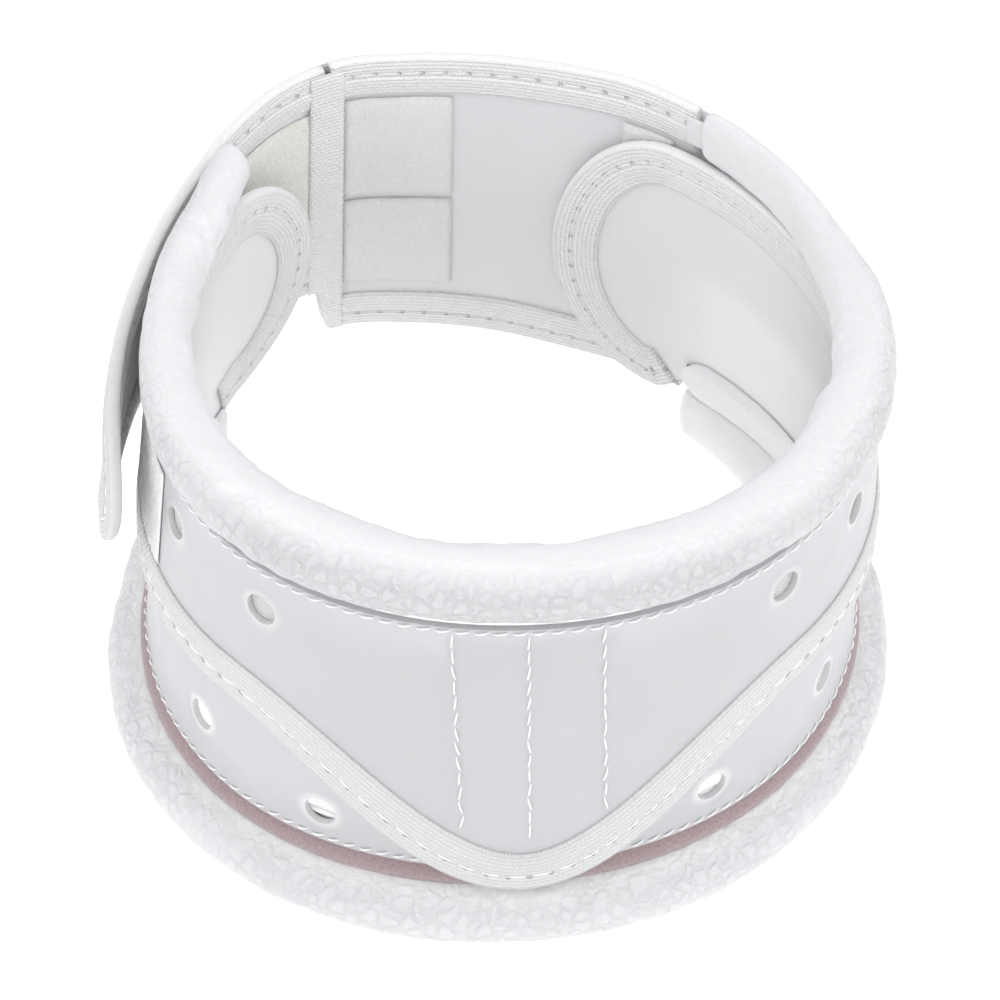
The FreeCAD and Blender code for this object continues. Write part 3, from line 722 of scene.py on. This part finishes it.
def roll_rings(ends, centre, half_width, half_height, height):
    """Rings of a roll in radial planes, a little thin because filling swells it, and their UVs."""
    rings, uv_rings, length = [], [], 0.0
    angles = stations(ends[0], ends[1], math.degrees(ROLL_STEP / ROLL_PATH_RADIUS))
    for i, angle in enumerate(angles):
        if i:
            length += math.radians(angle - angles[i - 1]) * ROLL_PATH_RADIUS
        from_end = min(angle - ends[0], ends[1] - angle) * math.radians(ROLL_PATH_RADIUS)
        close = 0.5 + 0.5 * math.sqrt(1 - (1 - min(from_end / ROLL_ROUND_END, 1.0)) ** 2)
        thinned = (1 - ROLL_START_SIZE) * (1 - calm(i / (len(angles) - 1)))
        size = close * ((1 - thinned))
        ring, uvs = [], []
        for j in range(ROLL_AROUND):
            turn = 2 * math.pi * j / ROLL_AROUND
            out = -half_width(angle) * size * math.cos(turn)
            up = half_height(angle) * size * math.sin(turn)
            ring.append(polar(centre(angle) + out, angle, max(height(angle) + up, 0.0)))
            uvs.append((length, j * ROLL_GIRTH / ROLL_AROUND))
        rings.append(ring)
        uv_rings.append(uvs)
    return rings, uv_rings


def inflate(piece, tightness, pinned, gather, cap):
    """Cloth simulation of a stuffed cover: pressed out by its filling, and cut too long, most of all
    where its tightness is 0, so that it gathers there. No point moves further than the cap."""
    start = np.array([v.co for v in piece.data.vertices])
    seed = np.random.default_rng(7)
    uneven = start + seed.normal(0.0, 0.07 * MM, start.shape)
    piece.data.vertices.foreach_set("co", uneven.astype(np.float32).ravel())
    sewn = piece.vertex_groups.new(name="sewn")
    sewn.add(pinned, 1.0, "REPLACE")
    tight = piece.vertex_groups.new(name="tight")
    for index, weight in enumerate(tightness):
        tight.add([index], weight, "REPLACE")
    cloth = piece.modifiers.new("cover", "CLOTH")
    settings = cloth.settings
    settings.vertex_group_mass = "sewn"
    settings.vertex_group_shrink = "tight"
    settings.shrink_min, settings.shrink_max = -gather, -0.02
    settings.quality = 5
    settings.mass = 0.05
    settings.tension_stiffness = 15.0
    settings.compression_stiffness = 15.0
    settings.shear_stiffness = 5.0
    settings.bending_stiffness = 0.04
    settings.tension_damping = 5.0
    settings.compression_damping = 5.0
    settings.shear_damping = 2.5
    settings.use_pressure = True
    settings.uniform_pressure_force = 4.0
    settings.effector_weights.gravity = 0.0
    cloth.collision_settings.use_collision = False
    cloth.collision_settings.use_self_collision = False
    cloth.point_cache.frame_start, cloth.point_cache.frame_end = 1, CLOTH_FRAMES
    for frame_number in range(1, CLOTH_FRAMES + 1):
        bpy.context.scene.frame_set(frame_number)
    shaped = piece.evaluated_get(bpy.context.evaluated_depsgraph_get()).to_mesh()
    moved = np.array([v.co for v in shaped.vertices]) - start
    piece.modifiers.remove(cloth)
    bpy.context.scene.frame_set(1)
    far = np.linalg.norm(moved, axis=1, keepdims=True)
    limited = start + moved * cap * np.tanh(far / cap) / np.maximum(far, 1e-9)
    limited[:, 2] = np.maximum(limited[:, 2], 0.0)
    piece.data.vertices.foreach_set("co", limited.astype(np.float32).ravel())
    piece.data.update()


def roll(name, body, slot, replaced, rings, sewn_row, gather):
    """A padded roll: its cover is pinned along the sewn row and at both ends, and is loosest on the
    side towards the neck."""
    points, uv_rings = rings
    piece = swept(name, points, uv_rings, slot)
    carry_round(piece.data, ROLL_GIRTH)
    pinned = []
    for i in range(len(points)):
        pinned += [i * ROLL_AROUND + (sewn_row + k) % ROLL_AROUND for k in (-1, 0, 1)]
        if i in (0, 1, len(points) - 2, len(points) - 1):
            pinned += [i * ROLL_AROUND + j for j in range(ROLL_AROUND)]
    around = [ramp(-math.cos(2 * math.pi * j / ROLL_AROUND), -0.9, 0.2) for j in range(ROLL_AROUND)]
    tightness, reach = [], []
    for i in range(len(points)):
        still = calm(i / (len(points) - 1))
        tightness += [max(weight, still) for weight in around]
        reach += [ROLL_CAP * MM * (1 - 0.9 * still)] * ROLL_AROUND
    inflate(piece, tightness, pinned, gather, np.array(reach)[:, None])
    rounded = piece.modifiers.new("rounded", "SUBSURF")
    rounded.levels = rounded.render_levels = 1
    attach(piece, body)
    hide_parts(*replaced)


def make_rolls():
    quarter = ROLL_AROUND // 4
    upper = roll_rings(
        TOP_ROLL_ENDS,
        lambda a: smooth(TOP_PLAN, a) + 1.2 * ramp(a, 96, 120),
        lambda a: smooth(TOP_ROLL_HALF_WIDTH, a),
        lambda a: smooth(TOP_ROLL_HALF_HEIGHT, a) + 0.6 * ramp(a, 92, 104),
        lambda a: top_roll_z(a) - 0.6 * ramp(a, 92, 104))
    lower = roll_rings(
        BOTTOM_ROLL_ENDS,
        lambda a: smooth(BOTTOM_PLAN, a),
        lambda a: smooth(BOTTOM_ROLL_HALF_WIDTH, a),
        level(BOTTOM_ROLL_RADIUS),
        level(BOTTOM_ROLL_Z))
    roll("upper_roll", "upper", "upper_vinyl", ("upper_roll_foam", "upper_roll_cover"), upper,
         3 * quarter, ROLL_GATHER)
    roll("lower_roll", "lower", "lower_vinyl", ("lower_roll_foam", "lower_roll_cover"), lower,
         quarter, ROLL_GATHER / 2)


# ---- textile pieces -------------------------------------------------------------------------------
def stand_for(piece, body, *replaced):
    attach(piece, body)
    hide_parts(*replaced)


def make_bindings():
    low, bib, tab = finer(lower_edge()), finer(bib_edge()), finer(tab_edge(), radius=rear_radius)
    across = stations(REAR_START, REAR_SEAM, 1.0)
    top = [(a, REAR_TOP + TAPE_THICKNESS) for a in across]
    bottom = [(a, REAR_BOTTOM - TAPE_THICKNESS) for a in reversed(across)]
    rows = (
        ("lower_tape", "lower_tape", "lower_panel_binding", low, "lower", LOWER_FACES, wall_radius, 0.25),
        ("bib_tape", "bib_tape", "upper_panel_binding", bib, "upper", UPPER_FACES, wall_radius, 0.25),
        ("tab_tape", "tab_tape", "tab_binding", tab, "closure_tab", REAR_FACES, rear_radius, 0.5),
        ("rear_top_tape", "rear_top", "rear_binding_top", top, "rear", REAR_FACES, rear_radius, 0.45),
        ("rear_bottom_tape", "rear_bottom", "rear_binding_bottom", bottom, "rear", REAR_FACES, rear_radius,
         0.3))
    for name, thread, replaced, path, body, faces, radius, puff in rows:
        stand_for(binding(name, path, faces, radius, puff), body, replaced)
    for name, thread, replaced, path, body, faces, radius, puff in rows:
        row = inset(path, TAPE_STITCH_LINE, radius)
        outside = stitches(thread + "_stitches", [row], faces[1] + TAPE_THICKNESS - 0.2, radius,
                           bulge=TAPE_THREAD_BULGE, **TAPE_THREAD)
        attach(outside, body)
        inside = stitches(thread + "_stitches_inside", [row], faces[0] - TAPE_THICKNESS + 0.2, radius,
                          bulge=-TAPE_THREAD_BULGE, **TAPE_THREAD)
        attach(inside, body)


def make_stitching():
    lines = []
    for top_angle, bottom_angle in CENTRE_LINES:
        bottom = bib_low(bottom_angle) + TAPE_WIDTH + 2.0
        turn, rise = top_angle - bottom_angle, CENTRE_LINE_TOP - bottom
        lines.append([(bottom_angle + turn * t, bottom + rise * t) for t in stations(0, 1, 0.05)])
    centre = stitches("centre_lines", lines, UPPER_FACES[1] + 0.12, **CENTRE_THREAD)
    stand_for(centre, "upper", "centre_stitching")
    angles = stations(BOTTOM_ROLL_ENDS[0] + 3, BOTTOM_ROLL_ENDS[1] - 3, 1.0)
    edge = [(a, LOWER_PANEL_BOTTOM + 1.3) for a in angles]
    whip = stitches("lower_edge_stitches", [edge], LOWER_FACES[1] + 0.1, **EDGE_THREAD)
    stand_for(whip, "lower", "lower_edge_stitching")
    seam = [(a, under_top_roll(a) - 1.0) for a in stations(-122, 92, 1.0)]
    row = stitches("roll_seam_stitches", [seam], UPPER_FACES[1] + 0.15, **SEAM_THREAD)
    stand_for(row, "upper", "upper_roll_stitching")
    upright = [(REAR_SEAM - 1.6, z) for z in reversed(stations(REAR_BOTTOM + 4, REAR_TOP - 4, 2.0))]
    rear = stitches("rear_seam_stitches", [upright], REAR_FACES[1] + TAPE_THICKNESS + 0.1, rear_radius)
    stand_for(rear, "rear", "rear_seam_stitching")


def make_cover_strips():
    """A dark pinkish band between sheet and lower roll, its colour painted shade for the shaded vinyl there,
    and the flap of the roll's cover inside the sheet.
    """
    shade_band = patch("seam_felt", span(*SHADE_BAND_ANGLES, *map(level, SHADE_BAND_HEIGHTS)), SHADE_BAND_FACES, "seam_band",
                 lean=lambda z: SHADE_BAND_LEAN * ramp(SHADE_BAND_LEAN_TOP - z, 0.0, 3.4))
    stand_for(shade_band, "lower", "lower_seam_band")
    flap = patch("cover_flap", span(*FLAP_ANGLES, *map(level, FLAP_HEIGHTS), 0.0, 6.0), FLAP_FACES,
                 "lower_vinyl", lean=lambda z: 0.9 * ramp(z, 23.4, 25.4), first_v=FLAP_SMOOTH_V)
    stand_for(flap, "lower", "lower_cover_flap")


def make_height_patches():
    """The loop patches on the lower sheet and the hooks behind the bib that grip them."""
    for side, angles in HEIGHT_LOOP_ANGLES.items():
        loop = patch("height_loop_" + side + "_pile", span(*angles, *map(level, HEIGHT_LOOP_HEIGHTS)),
                     HEIGHT_LOOP_FACES, "loop_textile", fuzz=0.05)
        stand_for(loop, "lower", "height_loop_" + side)
    for side, angles in HEIGHT_HOOK_ANGLES.items():
        hook = patch("height_hook_" + side + "_pile", span(*angles, *map(level, HEIGHT_HOOK_HEIGHTS)),
                     HOOK_FACES, "hook_textile", fuzz=0.04)
        stand_for(hook, "upper", "height_hook_" + side)
    columns = span(*CENTRE_HOOK_ANGLES, lambda a: bib_low(a) + 15.5, level(CENTRE_HOOK_TOP))
    strip = patch("centre_hook_pile", columns, HOOK_FACES, "hook_textile", fuzz=0.04)
    stand_for(strip, "upper", "centre_hook_strip")


def make_closure_patches():
    """The loop piles that the closure tab grips, and the hook lining inside the tab."""
    columns = span(*CLOSURE_ANGLES, *map(level, CLOSURE_HEIGHTS), step=0.5)
    pile = patch("closure_loop_pile", columns, CLOSURE_FACES, "loop_textile", rows=50, fuzz=0.15)
    stand_for(pile, "upper", "closure_loop_patch")
    for side, angles in REAR_LOOP_ANGLES.items():
        for part, heights in REAR_LOOP_HEIGHTS.items():
            loop = patch("rear_loop_%s_%s_pile" % (side, part), span(*angles, *map(level, heights)),
                         REAR_LOOP_FACES, "loop_textile", rear_radius, fuzz=0.05)
            stand_for(loop, "rear", "rear_loop_%s_%s" % (side, part))
    columns = span(TAB_START + 1, TAB_END - 8, lambda a: tab_low(a) + LINING_MARGIN,
                   level(TAB_TOP - LINING_MARGIN), 0.0, 10.0)
    lining = patch("tab_lining", columns, LINING_FACES, "hook_textile", rear_radius, fuzz=0.05)
    stand_for(lining, "closure_tab", "tab_hook_lining")


def make_hole_cloth():
    """Woven cloth that shows through the upper sheet's holes."""
    for index, (angle, z) in enumerate(UPPER_HOLES):
        columns = span(angle - HOLE_CLOTH_ANGLE, angle + HOLE_CLOTH_ANGLE, level(z - HOLE_CLOTH_HEIGHT),
                       level(z + HOLE_CLOTH_HEIGHT), 2.0, 2.0, 0.5)
        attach(patch("hole_cloth_%d" % index, columns, HOLE_CLOTH_FACES, "woven_tape"), "upper")


def seam_strip(name, ends, faces, low, high, slot):
    """Soft strip sewn across a hinge line."""
    start, end = ends
    columns = [(angle, low(angle), high(angle)) for angle in stations(start, end, 0.5)]
    piece = patch(name, columns, faces, slot, rear_radius, rows=40)
    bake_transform(piece)


def tab_strip_low(angle):
    return REAR_BOTTOM + (TAB_SEAM_BOTTOM - REAR_BOTTOM) * ramp(angle, 203, 205)


def make_seams():
    """Strips on both faces of both hinge lines. The inner one at the rear stays above the tongue."""
    for name, faces, low in (("rear_seam_outer", (1.45, 2.0), REAR_BOTTOM + 1),
                             ("rear_seam_inner", (-2.0, -1.45), LOWER_PANEL_TOP + 2.5)):
        seam_strip(name, REAR_SEAM_STRIP, faces, level(low), level(REAR_TOP - 1), "upper_vinyl")
    for name, faces in (("tab_seam_outer", (1.45, 2.05)), ("tab_seam_inner", (-2.05, -1.45))):
        seam_strip(name, TAB_SEAM_STRIP, faces, tab_strip_low, level(REAR_TOP - 0.6), "woven_tape")


# ---- camera, light and floor ----------------------------------------------------------------------
def make_camera():
    """Camera in front of and above the collar, rolled a little."""
    elevation, azimuth = math.radians(CAMERA_ELEVATION), math.radians(CAMERA_AZIMUTH)
    tilt = math.radians(CAMERA_ROLL)
    aim_x, aim_y, aim_z = CAMERA_AIM
    target = Vector(((aim_x + PLAN_CENTRE[0]) * MM, (aim_y + PLAN_CENTRE[1]) * MM, aim_z * MM))
    back = Vector((math.sin(azimuth) * math.cos(elevation), -math.cos(azimuth) * math.cos(elevation),
                   math.sin(elevation)))
    right = Vector((math.cos(azimuth), math.sin(azimuth), 0.0))
    up = back.cross(right)
    right, up = (right * math.cos(tilt) + up * math.sin(tilt), up * math.cos(tilt) - right * math.sin(tilt))
    camera = bpy.data.objects.new("camera", bpy.data.cameras.new("camera"))
    camera.data.lens = CAMERA_LENS
    camera.data.sensor_width = CAMERA_SENSOR
    place = Matrix((right, up, back)).transposed().to_4x4()
    place.translation = target + back * CAMERA_DISTANCE
    camera.matrix_world = place
    bpy.context.scene.collection.objects.link(camera)
    bpy.context.scene.camera = camera


def area_light(name, place, aim, size, power):
    lamp = bpy.data.lights.new(name, "AREA")
    lamp.shape = "RECTANGLE"
    lamp.size, lamp.size_y = size
    lamp.energy = power
    made = bpy.data.objects.new(name, lamp)
    made.location = place
    made.rotation_euler = (Vector(aim) - Vector(place)).to_track_quat("-Z", "Y").to_euler()
    bpy.context.scene.collection.objects.link(made)


def make_floor():
    """White floor that glows a little, as on a light table."""
    paint = Paint("studio_floor")
    tone = paint.blend(paint.noise(paint.coordinates(), 3.0, 1.0), grey(0.93), grey(0.95))
    material = paint.set(Base_Color=tone, Roughness=0.9, Emission_Color=grey(1.0),
                         Emission_Strength=FLOOR_GLOW)
    mesh = bpy.data.meshes.new("floor")
    corners = [(x * FLOOR_HALF, y * FLOOR_HALF, 0) for x, y in ((-1, -1), (1, -1), (1, 1), (-1, 1))]
    mesh.from_pydata(corners, [], [(0, 1, 2, 3)])
    mesh.materials.append(material)
    floor = bpy.data.objects.new("floor", mesh)
    floor.location.z = -0.0002
    bpy.context.scene.collection.objects.link(floor)


def make_walls():
    """Studio walls, brightest near the floor."""
    world = bpy.data.worlds.new("studio")
    bpy.context.scene.world = world
    world.use_nodes = True
    tree = world.node_tree
    split = tree.nodes.new("ShaderNodeSeparateXYZ")
    tree.links.new(tree.nodes.new("ShaderNodeTexCoord").outputs["Generated"], split.inputs[0])
    walls = tree.nodes.new("ShaderNodeMapRange")
    walls.interpolation_type = "SMOOTHSTEP"
    for socket, value in WALLS.items():
        walls.inputs[socket].default_value = value
    tree.links.new(split.outputs["Z"], walls.inputs["Value"])
    tree.links.new(walls.outputs[0], tree.nodes["Background"].inputs["Strength"])
    tree.nodes["Background"].inputs["Color"].default_value = (0.96, 0.97, 1.0, 1.0)


def make_studio():
    make_floor()
    make_walls()
    for name, lamp in LAMPS.items():
        area_light(name, **lamp)
    view = bpy.context.scene.view_settings
    view.view_transform = "Standard"
    view.look = "None"


def repaint_frame():
    """Gives the frame's own solids their slots' materials."""
    slots = {row["node"]: row["material_slot"] for row in frame["record"]["subparts"]}
    for name, piece in frame["nodes"].items():
        slot = slots[name]
        if slot in MATERIALS:
            for index in range(len(piece.data.materials)):
                piece.data.materials[index] = MATERIALS[slot]


make_camera()
make_studio()
make_rolls()
make_bindings()
make_stitching()
make_cover_strips()
make_height_patches()
make_closure_patches()
make_hole_cloth()
make_seams()
repaint_frame()
